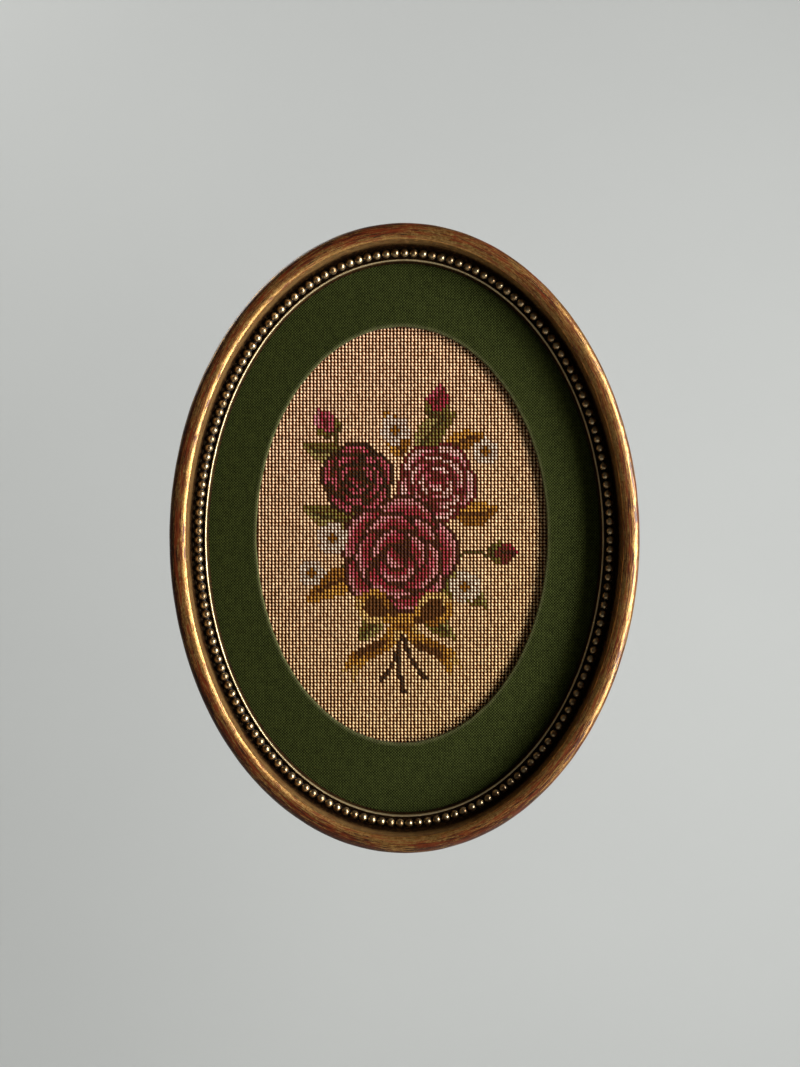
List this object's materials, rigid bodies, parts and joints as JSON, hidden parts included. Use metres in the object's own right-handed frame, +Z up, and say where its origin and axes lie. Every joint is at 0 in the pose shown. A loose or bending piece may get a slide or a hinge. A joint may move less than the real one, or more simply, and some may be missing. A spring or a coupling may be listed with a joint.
{
  "type": "framed embroidery",
  "caption": "Small oval needlework picture in tent stitch, stretched flat behind a cloth-covered oval mat, in a gilded wall frame with a course of pearls.",
  "frame": {"origin": "middle of the frame's flat back at the top of the oval, on the wall, where the picture is hung", "axes": "+Z up along the oval's long axis, -Y out of the picture's face towards the viewer, +X to the viewer's right"},
  "size_m": [0.1472, 0.0142, 0.1972],
  "materials": {
    "gilt": "turned wood, gold leaf over red bole, rubbed through along the crest, dark in the hollows",
    "pearls": "gilded pearls with dark antique patina between them",
    "mat_cloth": "fine plain-woven dark olive cloth over card",
    "needlework": "tent stitch in matt yarn on tan canvas, beige ground with roses, leaves and a gold ribbon",
    "card": "plain brown board, a little aged"
  },
  "bodies": {
    "root": {"frame_moulding": "gilt", "pearl_course": "pearls", "mat": "mat_cloth", "needlework": "needlework", "backing_board": "card"}
  },
  "joints": []
}
